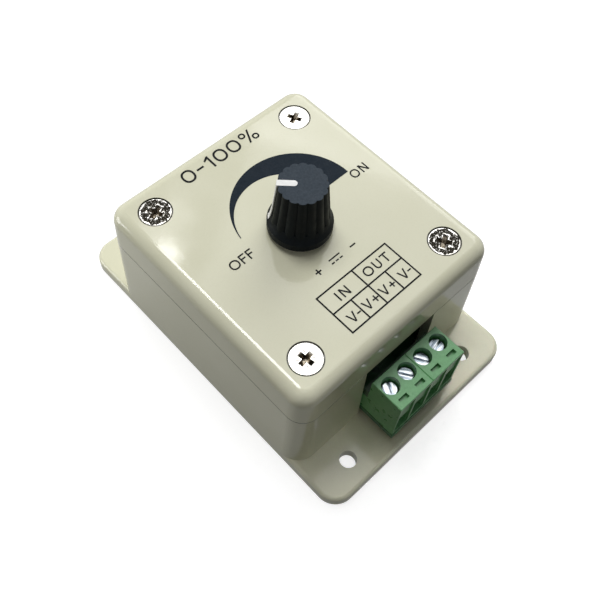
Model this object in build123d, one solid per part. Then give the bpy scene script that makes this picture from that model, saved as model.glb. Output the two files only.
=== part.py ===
from build123d import *
import math
import os

os.makedirs("parts", exist_ok=True)

# Housing, in millimetres: X across, Y from the front flange (-Y) to the rear one, Z up from the underside
FOOT_WIDTH = 59.0
FOOT_LENGTH = 89.0
FOOT_THICKNESS = 3.2
FOOT_CORNER = 5.0
FOOT_EDGE = 0.9
FLANGE_DEPTH = 12.2
BOX_CORNER = 5.0
BASE_LEAN = 0.5
COVER_LEAN = 0.4
PARTING_HEIGHT = 24.5
BOX_HEIGHT = 34.5
TOP_EDGE = 3.0
WALL = 2.0
FLOOR = 2.2
CEILING = 2.2
INNER_CORNER = 2.5
PARTING_BEVEL = 0.15
LIP_WIDTH = 0.9
LIP_HEIGHT = 1.0
RIB_WIDTH = 1.2
RIB_DROP = 3.0
FLANGE_HOLE_RADIUS = 2.0
FLANGE_HOLE_SIDE_INSET = 10.0
FLANGE_HOLE_END_INSET = 6.1

# Clearances: between fixed pieces, and between running ones
FIXED_GAP = 0.05
LOOSE_GAP = 0.4
RUNNING_GAP = 0.08

# Cover screws
SCREW_SIDE_INSET = 8.7
SCREW_END_INSET = 8.6
SCREW_HEAD_RADIUS = 3.5
SCREW_HEAD_RIM = 0.5
SCREW_HEAD_SINK = 0.15
SCREW_SHANK_RADIUS = 1.75
SCREW_LENGTH = 16.0
SCREW_POST_RADIUS = 3.6
SCREW_SEAT_GAP = 0.3
CROSS_SPAN = 3.6
CROSS_WIDTH = 1.15
CROSS_DEPTH = 1.6
CROSS_TURNS = [20.0, 24.0, 30.0, 8.0]

# Circuit board with a tongue under the terminals
BOARD_THICKNESS = 1.6
BOARD_UNDERSIDE = 5.7
BOARD_EDGE_GAP = 0.6
BOARD_POST_GAP = 0.6
TONGUE_REACH = 0.2
STANDOFF_SIDE_INSET = 7.0
STANDOFF_FROM_SCREW = 10.2
STANDOFF_RADIUS = 3.0
BOARD_SCREW_RADIUS = 1.2
BOARD_SCREW_HEAD_RADIUS = 2.4
BOARD_SCREW_HEAD_HEIGHT = 1.5
BOARD_SCREW_SLOT = 0.5
BOARD_SCREW_LENGTH = 4.6

# Terminals: two housings of two poles each, on one pitch
POLE_PITCH = 5.08
POLES_PER_BLOCK = 2
TERMINAL_CENTRE_X = 0.5
TERMINAL_REACH = 9.5
TERMINAL_SCREW_REACH = 4.05
TERMINAL_BACK_REACH = 1.0
TERMINAL_LEDGE_DEPTH = 1.6
TERMINAL_LEDGE_HEIGHT = 8.8
TERMINAL_HEIGHT = 14.2
TERMINAL_FLOOR = 1.1
TERMINAL_BEVEL = 0.15
DRIVER_HOLE_RADIUS = 2.1
CLAMP_SCREW_HEAD_DEPTH = 1.9
CLAMP_SCREW_HEAD_HEIGHT = 1.5
CLAMP_SCREW_HEAD_RADIUS = 1.85
CLAMP_SCREW_RADIUS = 1.25
CLAMP_SLOT_WIDTH = 0.6
CLAMP_SLOT_DEPTH = 0.7
CLAMP_SLOT_TURNS = [61.0, -56.0, -61.0, 10.0]
CLAMP_TRAVEL = 2.3
CLAMP_WIDTH = 3.8
CLAMP_DEPTH = 4.4
CLAMP_SIDE = 0.55
CLAMP_NUT_HEIGHT = 1.2
CLAMP_WINDOW = 4.6
CLAMP_SOLE = 0.6
CLAMP_GAP = 0.12
WIRE_ENTRY_WIDTH = 4.0
WIRE_ENTRY_HEIGHT = 5.0
FRONT_PANEL_WIDTH = 4.4
FRONT_PANEL_DEPTH = 0.5
FRONT_LIP = 0.9
TEST_SLOT_WIDTH = 2.5
TEST_SLOT_DEPTH = 1.1
TEST_SLOT_INSET = 1.1
TEST_SLOT_HEIGHT = 1.0
BAR_WIDTH = 2.2
BAR_THICKNESS = 0.7
BAR_FRONT_REST = 0.3
LEG_WIDTH = 1.2
LEG_THICKNESS = 0.6
LEG_BELOW_BOARD = 1.5
NOTCH_SIDE_GAP = 0.4

# Potentiometer under the cover, shaft on the Z axis
BUSHING_RADIUS = 3.5
BUSHING_LENGTH = 6.5
SHAFT_RADIUS = 3.0
SHAFT_RISE = 12.5
CAN_RADIUS = 8.25
CAN_HEIGHT = 6.7
CAN_WALL = 0.5
FRONT_PLATE_THICKNESS = 1.0
SHAFT_COLLAR_RADIUS = 4.5
SHAFT_COLLAR_HEIGHT = 0.8
SHAFT_COLLAR_GAP = 0.2
ROTOR_RADIUS = 6.8
ROTOR_HEIGHT = 1.8
TRACK_THICKNESS = 0.8
TRACK_TONGUE_WIDTH = 13.0
TRACK_TONGUE_REACH = 12.2
WIPER_WIDTH = 1.4
WIPER_REACH = 5.8
WIPER_THICKNESS = 0.35
LUG_SPACING = 5.0
LUG_WIDTH = 1.8
LUG_THICKNESS = 0.4
LUG_INSET = 3.4
LUG_REACH = 3.0
WASHER_RADIUS = 6.0
WASHER_THICKNESS = 0.5
NUT_ACROSS_FLATS = 10.0
NUT_HEIGHT = 2.0
LEAD_RADIUS = 0.6
LEAD_SPREAD = 1.5
LEAD_FOOT_Y = 17.5

# Knob, a fluted body above a smooth skirt
KNOB_LIFT = 1.1
KNOB_HEIGHT = 14.0
SKIRT_RADIUS = 7.25
SKIRT_HEIGHT = 1.8
SKIRT_SHOULDER = 1.1
KNOB_LOW_RADIUS = 6.65
LOBE_LOW_RADIUS = 6.6
KNOB_WAIST_RADIUS = 6.2
KNOB_WAIST_RISE = 2.6
KNOB_TOP_RADIUS = 5.35
FLUTE_COUNT = 16
FLUTE_DEPTH = 0.42
KNOB_TURN = 136.0
KNOB_CAVITY_RADIUS = 6.0
KNOB_CAVITY_HEIGHT = 1.9
KNOB_THROAT_RADIUS = 3.9
KNOB_THROAT_GAP = 0.4
POINTER_WIDTH = 1.45
POINTER_INNER_END = 1.1
POINTER_DEPTH = 0.6
POINTER_PROUD = 0.03
POINTER_LOW_END = -0.6

# Printing on the cover
INK_THICKNESS = 0.05
ARC_OUTER_CENTRE = (3.45, 3.9)
ARC_OUTER_RADIUS = 15.25
ARC_INNER_CENTRE = (-0.15, 4.0)
ARC_INNER_RADIUS = 11.5
ARC_THIN_END_Y = 6.1
ARC_THICK_END_Y = 3.7
TABLE_LEFT = -9.9
TABLE_RIGHT = 10.6
TABLE_FRONT_INSET = 6.35
TABLE_LOW_ROW = 5.6
TABLE_HIGH_ROW = 4.9
TABLE_LINE = 0.36

# Power transistor, upright on the board
TRANSISTOR_WIDTH = 10.0
TRANSISTOR_DEPTH = 3.2
TRANSISTOR_HEIGHT = 9.0
TRANSISTOR_LIFT = 3.0
TAB_DEPTH = 1.3
TAB_HEIGHT = 15.0
TAB_HOLE_RADIUS = 1.8
TRANSISTOR_LEG_HEIGHT = 4.0
TRANSISTOR_LEG_DEPTH = 0.5
TRANSISTOR_FROM_SCREW = 11.8
TRANSISTOR_FROM_FRONT = 8.2

# Control chip; its legs share their pitch and width with the transistor's
CHIP_LENGTH = 9.6
CHIP_WIDTH = 6.4
CHIP_HEIGHT = 3.3
CHIP_LIFT = 0.6
CHIP_LEG_OUT = 0.4
CHIP_FROM_SIDE = 16.4
CHIP_FROM_FRONT = 14.2
LEG_PITCH = 2.54
COMPONENT_LEG_WIDTH = 0.8

# Electrolytic capacitor
CAPACITOR_RADIUS = 4.0
CAPACITOR_HEIGHT = 12.0
CAPACITOR_CRIMP = 0.4
CRIMP_LOW = 1.6
CRIMP_HEIGHT = 0.6
CAPACITOR_X = 3.5
CAPACITOR_FROM_FRONT = 5.2

# Diode, resistors and ceramic capacitors
AXIAL_SPAN = 10.0
DIODE_LENGTH = 5.2
DIODE_RADIUS = 1.35
DIODE_WIRE_RADIUS = 0.4
DIODE_FROM_SIDE = 14.4
DIODE_FROM_STANDOFF = 5.0
RESISTOR_LENGTH = 6.0
RESISTOR_RADIUS = 1.1
RESISTOR_WIRE_RADIUS = 0.3
RESISTOR_PITCH = 3.4
RESISTORS_FROM_SIDE = 10.9
RESISTORS_FROM_STANDOFF = 9.5
DISC_RADIUS = 2.4
DISC_THICKNESS = 1.8
DISC_EDGE = 0.6
DISC_LIFT = 4.0
DISC_PITCH = 5.0
DISCS_FROM_SIDE = 5.4
DISCS_FROM_STANDOFF = 8.5

# Box, cover screws and board, from the foot plate's size
BOX_LENGTH = FOOT_LENGTH - 2 * FLANGE_DEPTH
BOX_FRONT = -BOX_LENGTH / 2
FLANGE_HOLE_X = FOOT_WIDTH / 2 - FLANGE_HOLE_SIDE_INSET
FLANGE_HOLE_Y = FOOT_LENGTH / 2 - FLANGE_HOLE_END_INSET
SCREW_X = FOOT_WIDTH / 2 - SCREW_SIDE_INSET
SCREW_Y = BOX_LENGTH / 2 - SCREW_END_INSET
STANDOFF_X = FOOT_WIDTH / 2 - STANDOFF_SIDE_INSET
STANDOFF_Y = SCREW_Y - STANDOFF_FROM_SCREW
TABLE_BOTTOM = BOX_FRONT + TABLE_FRONT_INSET
TABLE_MIDDLE = TABLE_BOTTOM + TABLE_LOW_ROW
TABLE_TOP = TABLE_MIDDLE + TABLE_HIGH_ROW
PARTING_WIDTH = FOOT_WIDTH - 2 * BASE_LEAN
PARTING_LENGTH = BOX_LENGTH - 2 * BASE_LEAN
INNER_WIDTH = PARTING_WIDTH - 2 * WALL
INNER_LENGTH = PARTING_LENGTH - 2 * WALL
BOARD_HALF_X = INNER_WIDTH / 2 - BOARD_EDGE_GAP
BOARD_HALF_Y = INNER_LENGTH / 2 - BOARD_EDGE_GAP
BOARD_FRONT = -BOARD_HALF_Y

# Places of the components: centre X and Y, or for a row its first one's
TRANSISTOR_AT = (-SCREW_X + TRANSISTOR_FROM_SCREW, BOARD_FRONT + TRANSISTOR_FROM_FRONT)
CHIP_AT = (BOARD_HALF_X - CHIP_FROM_SIDE, BOARD_FRONT + CHIP_FROM_FRONT)
CAPACITOR_AT = (CAPACITOR_X, BOARD_FRONT + CAPACITOR_FROM_FRONT)
DIODE_AT = (-BOARD_HALF_X + DIODE_FROM_SIDE, -STANDOFF_Y + DIODE_FROM_STANDOFF)
RESISTORS_AT = (BOARD_HALF_X - RESISTORS_FROM_SIDE, STANDOFF_Y - RESISTORS_FROM_STANDOFF)
DISCS_AT = (-BOARD_HALF_X + DISCS_FROM_SIDE, STANDOFF_Y - DISCS_FROM_STANDOFF)

# Heights that follow from the sizes above
CEILING_Z = BOX_HEIGHT - CEILING
BOARD_TOP = BOARD_UNDERSIDE + BOARD_THICKNESS
TERMINAL_TOP = BOARD_TOP + TERMINAL_HEIGHT
TERMINAL_FLOOR_Z = BOARD_TOP + TERMINAL_FLOOR
HEAD_UNDERSIDE = TERMINAL_TOP - CLAMP_SCREW_HEAD_DEPTH - CLAMP_SCREW_HEAD_HEIGHT
TERMINAL_FRONT = BOX_FRONT - TERMINAL_REACH
TERMINAL_SCREW_Y = BOX_FRONT - TERMINAL_SCREW_REACH
TERMINAL_BACK = BOX_FRONT - TERMINAL_BACK_REACH
TERMINAL_LEDGE_BACK = TERMINAL_BACK + TERMINAL_LEDGE_DEPTH
TONGUE_FRONT = TERMINAL_FRONT - TONGUE_REACH
TEST_SLOT_FRONT = TERMINAL_FRONT + TEST_SLOT_INSET
POLE_XS = [TERMINAL_CENTRE_X + (i - 1.5) * POLE_PITCH for i in range(4)]
CLAMP_LOW_Z = TERMINAL_FLOOR_Z + CLAMP_GAP
CLAMP_HEIGHT = CLAMP_SOLE + CLAMP_WINDOW + CLAMP_NUT_HEIGHT
NUT_LOW_Z = CLAMP_LOW_Z + CLAMP_SOLE + CLAMP_WINDOW
CAVITY_TOP_Z = CLAMP_LOW_Z + CLAMP_HEIGHT + CLAMP_TRAVEL + CLAMP_GAP
CAVITY_HALF_DEPTH = CLAMP_DEPTH / 2 + CLAMP_GAP
BAR_TOP = NUT_LOW_Z - CLAMP_GAP
TONGUE_WIDTH = 4 * POLE_PITCH + 0.2
KNOB_LOW_Z = BOX_HEIGHT + KNOB_LIFT
KNOB_TOP_Z = KNOB_LOW_Z + KNOB_HEIGHT
BODY_LOW_Z = KNOB_LOW_Z + SKIRT_HEIGHT + SKIRT_SHOULDER
WAIST_Z = BODY_LOW_Z + KNOB_WAIST_RISE
BUSHING_TOP_Z = CEILING_Z + BUSHING_LENGTH
SHAFT_TOP_Z = BOX_HEIGHT + SHAFT_RISE
CAN_BOTTOM_Z = CEILING_Z - FRONT_PLATE_THICKNESS - CAN_HEIGHT
TRACK_LOW_Z = CAN_BOTTOM_Z + CAN_WALL
TRACK_TOP_Z = TRACK_LOW_Z + TRACK_THICKNESS
COLLAR_TOP_Z = CEILING_Z - FRONT_PLATE_THICKNESS - SHAFT_COLLAR_GAP
ROTOR_TOP_Z = COLLAR_TOP_Z - SHAFT_COLLAR_HEIGHT
ROTOR_LOW_Z = ROTOR_TOP_Z - ROTOR_HEIGHT
LUG_Z = TRACK_TOP_Z


def block(x0, x1, y0, y1, z0, z1):
    """A box given by its two corners."""
    middle = Pos((x0 + x1) / 2, (y0 + y1) / 2, (z0 + z1) / 2)
    return middle * Box(x1 - x0, y1 - y0, z1 - z0)


def disc(radius, z0, z1, x=0.0, y=0.0):
    """An upright cylinder from z0 to z1."""
    return Pos(x, y, (z0 + z1) / 2) * Cylinder(radius, z1 - z0)


def cone(low_radius, high_radius, z0, z1, x=0.0, y=0.0):
    """An upright cone from z0 to z1."""
    return Pos(x, y, (z0 + z1) / 2) * Cone(low_radius, high_radius, z1 - z0)


def rounded_slab(width, length, corner, z0, z1):
    """A plate with round corners in plan, centred on the Z axis."""
    outline = Pos(0, 0, z0) * RectangleRounded(width, length, corner)
    return extrude(outline, amount=z1 - z0)


def leaning_walls(width, length, corner, lean, z0, z1):
    """A solid whose four sides lean inward by one amount on the way up."""
    outline = Pos(0, 0, z0) * RectangleRounded(width, length, corner)
    return extrude(outline, amount=z1 - z0, taper=math.degrees(math.atan(lean / (z1 - z0))))


def corners(x, y):
    """The four places mirrored about both axes, rear left first."""
    return [(-x, y), (x, y), (x, -y), (-x, -y)]


def revolved(points):
    """A body of revolution about Z from an outline of (radius, height) points."""
    outline = Plane.XZ * make_face(Polyline(points, close=True))
    return revolve(outline, axis=Axis.Z)


def lip_ring(gap, z0, z1):
    """The alignment lip on the base's inner edge, or with a gap its groove in the cover."""
    grow = LIP_WIDTH + gap
    outer = rounded_slab(INNER_WIDTH + 2 * grow, INNER_LENGTH + 2 * grow, INNER_CORNER + grow, z0, z1)
    return outer - rounded_slab(INNER_WIDTH, INNER_LENGTH, INNER_CORNER, z0, z1)


def screw_ribs(x, y, z0, z1):
    """Two ribs that tie a corner post to the walls beside it."""
    reach_x = math.copysign(INNER_WIDTH / 2 + FIXED_GAP, x)
    reach_y = math.copysign(INNER_LENGTH / 2 + FIXED_GAP, y)
    along_x = block(min(x, reach_x), max(x, reach_x), y - RIB_WIDTH / 2, y + RIB_WIDTH / 2, z0, z1)
    along_y = block(x - RIB_WIDTH / 2, x + RIB_WIDTH / 2, min(y, reach_y), max(y, reach_y), z0, z1)
    return along_x + along_y


def make_base():
    """Foot plate, leaning walls, posts and standoffs, in one moulding."""
    foot = rounded_slab(FOOT_WIDTH, FOOT_LENGTH, FOOT_CORNER, 0, FOOT_THICKNESS)
    foot = fillet(foot.faces().sort_by(Axis.Z)[-1].edges(), FOOT_EDGE)
    skirt = rounded_slab(FOOT_WIDTH, BOX_LENGTH, BOX_CORNER, 0, FOOT_THICKNESS)
    walls = leaning_walls(FOOT_WIDTH, BOX_LENGTH, BOX_CORNER, BASE_LEAN, FOOT_THICKNESS, PARTING_HEIGHT)
    walls = chamfer(walls.faces().sort_by(Axis.Z)[-1].edges(), PARTING_BEVEL)
    base = foot + skirt + walls
    base -= rounded_slab(INNER_WIDTH, INNER_LENGTH, INNER_CORNER, FLOOR, PARTING_HEIGHT)
    base += lip_ring(0, PARTING_HEIGHT - LIP_HEIGHT, PARTING_HEIGHT + LIP_HEIGHT)
    pilot_low = BOX_HEIGHT - SCREW_LENGTH - LOOSE_GAP
    for x, y in corners(SCREW_X, SCREW_Y):
        base += disc(SCREW_POST_RADIUS, FLOOR, PARTING_HEIGHT, x, y)
        base += screw_ribs(x, y, FLOOR, PARTING_HEIGHT - RIB_DROP)
        base -= disc(SCREW_SHANK_RADIUS + FIXED_GAP, pilot_low, PARTING_HEIGHT, x, y)
    standoff_pilot_low = BOARD_TOP - BOARD_SCREW_LENGTH - FIXED_GAP
    for x, y in corners(STANDOFF_X, STANDOFF_Y):
        base += disc(STANDOFF_RADIUS, FLOOR, BOARD_UNDERSIDE, x, y)
        base -= disc(BOARD_SCREW_RADIUS + FIXED_GAP, standoff_pilot_low, BOARD_UNDERSIDE, x, y)
    for x, y in corners(FLANGE_HOLE_X, FLANGE_HOLE_Y):
        base -= disc(FLANGE_HOLE_RADIUS, 0, FOOT_THICKNESS, x, y)
    return base - notch()


def notch():
    """The space in the front wall that the terminals and the tongue pass through."""
    half = TONGUE_WIDTH / 2 + NOTCH_SIDE_GAP
    return block(
        TERMINAL_CENTRE_X - half, TERMINAL_CENTRE_X + half, BOX_FRONT - 1, -INNER_LENGTH / 2 + 1,
        FOOT_THICKNESS, PARTING_HEIGHT + LIP_HEIGHT,
    )


def screw_seat(x, y):
    """The countersunk seat and clearance hole for one cover screw."""
    head_top = BOX_HEIGHT - SCREW_HEAD_SINK
    rim_low = head_top - SCREW_HEAD_RIM
    cone_low = rim_low - (SCREW_HEAD_RADIUS - SCREW_SHANK_RADIUS)
    seat = disc(SCREW_HEAD_RADIUS + SCREW_SEAT_GAP, rim_low, BOX_HEIGHT, x, y)
    seat += cone(SCREW_SHANK_RADIUS + FIXED_GAP, SCREW_HEAD_RADIUS + FIXED_GAP, cone_low, rim_low, x, y)
    return seat + disc(SCREW_SHANK_RADIUS + FIXED_GAP, PARTING_HEIGHT, BOX_HEIGHT, x, y)


def make_cover():
    """The upper shell, with a soft top edge, corner posts and the bushing's hole."""
    corner = BOX_CORNER - BASE_LEAN
    cover = leaning_walls(PARTING_WIDTH, PARTING_LENGTH, corner, COVER_LEAN, PARTING_HEIGHT, BOX_HEIGHT)
    cover = fillet(cover.faces().sort_by(Axis.Z)[-1].edges(), TOP_EDGE)
    cover = chamfer(cover.faces().sort_by(Axis.Z)[0].edges(), PARTING_BEVEL)
    cover -= rounded_slab(INNER_WIDTH, INNER_LENGTH, INNER_CORNER, PARTING_HEIGHT, CEILING_Z)
    cover -= lip_ring(FIXED_GAP, PARTING_HEIGHT, PARTING_HEIGHT + LIP_HEIGHT + FIXED_GAP)
    for x, y in corners(SCREW_X, SCREW_Y):
        cover += disc(SCREW_POST_RADIUS, PARTING_HEIGHT, CEILING_Z, x, y)
    for x, y in corners(SCREW_X, SCREW_Y):
        cover -= screw_seat(x, y)
    return cover - disc(BUSHING_RADIUS + FIXED_GAP, CEILING_Z, BOX_HEIGHT)


def make_cover_screw(x, y, turn):
    """A countersunk screw with a cross recess."""
    top = BOX_HEIGHT - SCREW_HEAD_SINK
    rim_low = top - SCREW_HEAD_RIM
    cone_low = rim_low - (SCREW_HEAD_RADIUS - SCREW_SHANK_RADIUS)
    tip = BOX_HEIGHT - SCREW_LENGTH
    screw = disc(SCREW_HEAD_RADIUS, rim_low, top)
    screw += cone(SCREW_SHANK_RADIUS, SCREW_HEAD_RADIUS, cone_low, rim_low)
    screw += disc(SCREW_SHANK_RADIUS, tip + SCREW_SHANK_RADIUS, cone_low)
    screw += cone(SCREW_SHANK_RADIUS / 4, SCREW_SHANK_RADIUS, tip, tip + SCREW_SHANK_RADIUS)
    for arm in (0, 90):
        screw -= Rot(0, 0, arm) * cross_arm(top)
    return Pos(x, y, 0) * Rot(0, 0, turn) * screw


def cross_arm(top):
    """One tapering arm pair of the cross recess."""
    mouth = Pos(0, 0, top) * Rectangle(CROSS_SPAN, CROSS_WIDTH)
    bottom = Pos(0, 0, top - CROSS_DEPTH) * Rectangle(CROSS_SPAN / 3, CROSS_WIDTH * 0.7)
    return loft([mouth, bottom], ruled=True)


def make_board():
    """The board between the posts, with its tongue under the terminals."""
    board = block(-BOARD_HALF_X, BOARD_HALF_X, BOARD_FRONT, BOARD_HALF_Y, BOARD_UNDERSIDE, BOARD_TOP)
    tongue_half = TONGUE_WIDTH / 2
    board += block(
        TERMINAL_CENTRE_X - tongue_half, TERMINAL_CENTRE_X + tongue_half, TONGUE_FRONT, BOARD_FRONT + 1,
        BOARD_UNDERSIDE, BOARD_TOP,
    )
    post = SCREW_POST_RADIUS + BOARD_POST_GAP
    for x, y in corners(SCREW_X, SCREW_Y):
        far_x = math.copysign(INNER_WIDTH, x)
        far_y = math.copysign(INNER_LENGTH, y)
        near_x = x - math.copysign(post, x)
        near_y = y - math.copysign(post, y)
        board -= block(
            min(near_x, far_x), max(near_x, far_x), min(near_y, far_y), max(near_y, far_y),
            BOARD_UNDERSIDE, BOARD_TOP,
        )
    for x, y in corners(STANDOFF_X, STANDOFF_Y):
        board -= disc(BOARD_SCREW_RADIUS + FIXED_GAP, BOARD_UNDERSIDE, BOARD_TOP, x, y)
    for x in POLE_XS:
        board -= leg(x, FIXED_GAP)
    return board


def make_board_screw(x, y):
    """A small pan-head screw into a standoff."""
    head = disc(BOARD_SCREW_HEAD_RADIUS, BOARD_TOP, BOARD_TOP + BOARD_SCREW_HEAD_HEIGHT)
    head = fillet(head.faces().sort_by(Axis.Z)[-1].edges(), BOARD_SCREW_HEAD_HEIGHT / 2)
    screw = head + disc(BOARD_SCREW_RADIUS, BOARD_TOP - BOARD_SCREW_LENGTH, BOARD_TOP)
    reach = BOARD_SCREW_HEAD_RADIUS
    half = BOARD_SCREW_SLOT / 2
    slot_top = BOARD_TOP + BOARD_SCREW_HEAD_HEIGHT
    screw -= block(-reach, reach, -half, half, slot_top - BOARD_SCREW_HEAD_HEIGHT / 2, slot_top)
    return Pos(x, y, 0) * screw


def leg(x, gap=0.0):
    """The solder leg of one current bar, or with a gap its hole."""
    back = TERMINAL_SCREW_Y + CAVITY_HALF_DEPTH + LEG_THICKNESS
    half = LEG_WIDTH / 2 + gap
    low = BOARD_UNDERSIDE - LEG_BELOW_BOARD
    return block(x - half, x + half, back - LEG_THICKNESS - gap, back + gap, low, BAR_TOP)


def make_current_bar(x):
    """The bar that a wire is squeezed against, with its leg down through the board."""
    back = TERMINAL_SCREW_Y + CAVITY_HALF_DEPTH + LEG_THICKNESS
    front = TERMINAL_SCREW_Y - CLAMP_DEPTH / 2 + BAR_FRONT_REST
    bar = block(x - BAR_WIDTH / 2, x + BAR_WIDTH / 2, front, back, BAR_TOP - BAR_THICKNESS, BAR_TOP)
    return bar + leg(x)


def pole_space(x):
    """What is hollow in a terminal housing at one pole."""
    back = TERMINAL_SCREW_Y + CAVITY_HALF_DEPTH
    space = disc(DRIVER_HOLE_RADIUS, HEAD_UNDERSIDE, TERMINAL_TOP, x, TERMINAL_SCREW_Y)
    space += disc(CLAMP_SCREW_RADIUS + RUNNING_GAP, CAVITY_TOP_Z, HEAD_UNDERSIDE, x, TERMINAL_SCREW_Y)
    cage = CLAMP_WIDTH / 2 + CLAMP_GAP
    front = TERMINAL_SCREW_Y - CAVITY_HALF_DEPTH
    space += block(x - cage, x + cage, front, back, TERMINAL_FLOOR_Z, CAVITY_TOP_Z)
    entry = WIRE_ENTRY_WIDTH / 2
    entry_top = TERMINAL_FLOOR_Z + WIRE_ENTRY_HEIGHT
    space += block(x - entry, x + entry, TERMINAL_FRONT, TERMINAL_SCREW_Y, TERMINAL_FLOOR_Z, entry_top)
    panel = FRONT_PANEL_WIDTH / 2
    panel_back = TERMINAL_FRONT + FRONT_PANEL_DEPTH
    panel_top = TERMINAL_TOP - FRONT_LIP
    space += block(x - panel, x + panel, TERMINAL_FRONT, panel_back, TERMINAL_FLOOR_Z, panel_top)
    test = TEST_SLOT_WIDTH / 2
    test_back = TEST_SLOT_FRONT + TEST_SLOT_DEPTH
    test_low = TERMINAL_TOP - TEST_SLOT_HEIGHT
    space += block(x - test, x + test, TEST_SLOT_FRONT, test_back, test_low, TERMINAL_TOP)
    bar = BAR_WIDTH / 2 + FIXED_GAP
    bar_back = back + LEG_THICKNESS + FIXED_GAP
    space += block(x - bar, x + bar, back, bar_back, BAR_TOP - BAR_THICKNESS, CAVITY_TOP_Z)
    leg_half = LEG_WIDTH / 2 + FIXED_GAP
    return space + block(x - leg_half, x + leg_half, back, bar_back, BOARD_TOP, BAR_TOP)


def make_terminal_block(first):
    """One housing of two poles, with the ledge at its back."""
    xs = POLE_XS[first:first + POLES_PER_BLOCK]
    x0 = xs[0] - POLE_PITCH / 2
    x1 = xs[-1] + POLE_PITCH / 2
    housing = block(x0, x1, TERMINAL_FRONT, TERMINAL_BACK, BOARD_TOP, TERMINAL_TOP)
    housing = chamfer(housing.faces().sort_by(Axis.Z)[-1].edges(), TERMINAL_BEVEL)
    ledge_top = BOARD_TOP + TERMINAL_LEDGE_HEIGHT
    housing += block(x0, x1, TERMINAL_BACK - 1, TERMINAL_LEDGE_BACK, BOARD_TOP, ledge_top)
    for x in xs:
        housing -= pole_space(x)
    return housing


def make_clamp_screw(x, turn):
    """A slotted screw that turns in place under its driver hole."""
    top = HEAD_UNDERSIDE + CLAMP_SCREW_HEAD_HEIGHT
    head = disc(CLAMP_SCREW_HEAD_RADIUS, HEAD_UNDERSIDE, top)
    head = fillet(head.faces().sort_by(Axis.Z)[-1].edges(), 0.25)
    screw = head + disc(CLAMP_SCREW_RADIUS, NUT_LOW_Z, HEAD_UNDERSIDE)
    reach = CLAMP_SCREW_HEAD_RADIUS + 1
    screw -= block(-reach, reach, -CLAMP_SLOT_WIDTH / 2, CLAMP_SLOT_WIDTH / 2, top - CLAMP_SLOT_DEPTH, top)
    return Pos(x, TERMINAL_SCREW_Y, 0) * Rot(0, 0, turn) * screw


def make_wire_clamp(x):
    """The cage that rises on its screw and lifts the wire against the bar."""
    half_x = CLAMP_WIDTH / 2
    half_y = CLAMP_DEPTH / 2
    y0 = TERMINAL_SCREW_Y - half_y
    y1 = TERMINAL_SCREW_Y + half_y
    clamp = block(x - half_x, x + half_x, y0, y1, CLAMP_LOW_Z, CLAMP_LOW_Z + CLAMP_HEIGHT)
    window = half_x - CLAMP_SIDE
    clamp -= block(x - window, x + window, y0 - 1, y1 + 1, CLAMP_LOW_Z + CLAMP_SOLE, NUT_LOW_Z)
    nut_top = CLAMP_LOW_Z + CLAMP_HEIGHT
    return clamp - disc(CLAMP_SCREW_RADIUS + RUNNING_GAP, NUT_LOW_Z, nut_top, x, TERMINAL_SCREW_Y)


def make_bushing():
    """The potentiometer's front plate and threaded bushing, in one casting."""
    plate_low = CEILING_Z - FRONT_PLATE_THICKNESS
    casting = disc(CAN_RADIUS, plate_low, CEILING_Z) + disc(BUSHING_RADIUS, CEILING_Z, BUSHING_TOP_Z)
    return casting - disc(SHAFT_RADIUS + RUNNING_GAP, plate_low, BUSHING_TOP_Z)


def make_can():
    """The can that closes the potentiometer, open at the lugs' side."""
    top = CEILING_Z - FRONT_PLATE_THICKNESS
    can = disc(CAN_RADIUS, CAN_BOTTOM_Z, top) - disc(CAN_RADIUS - CAN_WALL, TRACK_LOW_Z, top)
    half = TRACK_TONGUE_WIDTH / 2 + LOOSE_GAP
    return can - block(-half, half, 0, CAN_RADIUS + 1, TRACK_LOW_Z, TRACK_TOP_Z + LUG_THICKNESS + LOOSE_GAP)


def make_track():
    """The wafer that holds the resistive track, with a tongue for the lugs."""
    inner = CAN_RADIUS - CAN_WALL - FIXED_GAP
    half = TRACK_TONGUE_WIDTH / 2
    wafer = disc(inner, TRACK_LOW_Z, TRACK_TOP_Z)
    return wafer + block(-half, half, 0, TRACK_TONGUE_REACH, TRACK_LOW_Z, TRACK_TOP_Z)


def make_lug(x):
    """A flat lug riveted on the tongue."""
    y0 = TRACK_TONGUE_REACH - LUG_INSET
    y1 = TRACK_TONGUE_REACH + LUG_REACH
    strip = block(x - LUG_WIDTH / 2, x + LUG_WIDTH / 2, y0, y1, LUG_Z, LUG_Z + LUG_THICKNESS)
    return fillet(strip.edges().filter_by(Axis.Z).sort_by(Axis.Y)[-2:], LUG_WIDTH / 3)


def make_lead(index):
    """A lead from under a lug down into the board, in three runs with wide bends."""
    x = (index - 1) * LUG_SPACING
    foot_x = x + (index - 1) * LEAD_SPREAD
    lug_y = TRACK_TONGUE_REACH + LUG_REACH / 2
    drop = (LUG_Z - BOARD_TOP) / 3
    points = [
        (x, lug_y, LUG_Z),
        (x, lug_y, LUG_Z - drop),
        (foot_x, LEAD_FOOT_Y, BOARD_TOP + drop),
        (foot_x, LEAD_FOOT_Y, BOARD_TOP),
    ]
    shift = math.hypot(foot_x - x, LEAD_FOOT_Y - lug_y)
    turn = math.atan2(shift, drop)
    bend = 0.45 * drop / math.tan(turn / 2)
    route = FilletPolyline(*points, radius=bend)
    section = Plane(origin=points[0], z_dir=(0, 0, -1)) * Circle(LEAD_RADIUS)
    return sweep(section, path=route)


def make_shaft():
    """The turning shaft with its retaining collar."""
    shaft = disc(SHAFT_RADIUS, ROTOR_TOP_Z, SHAFT_TOP_Z)
    return shaft + disc(SHAFT_COLLAR_RADIUS, ROTOR_TOP_Z, COLLAR_TOP_Z)


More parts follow.
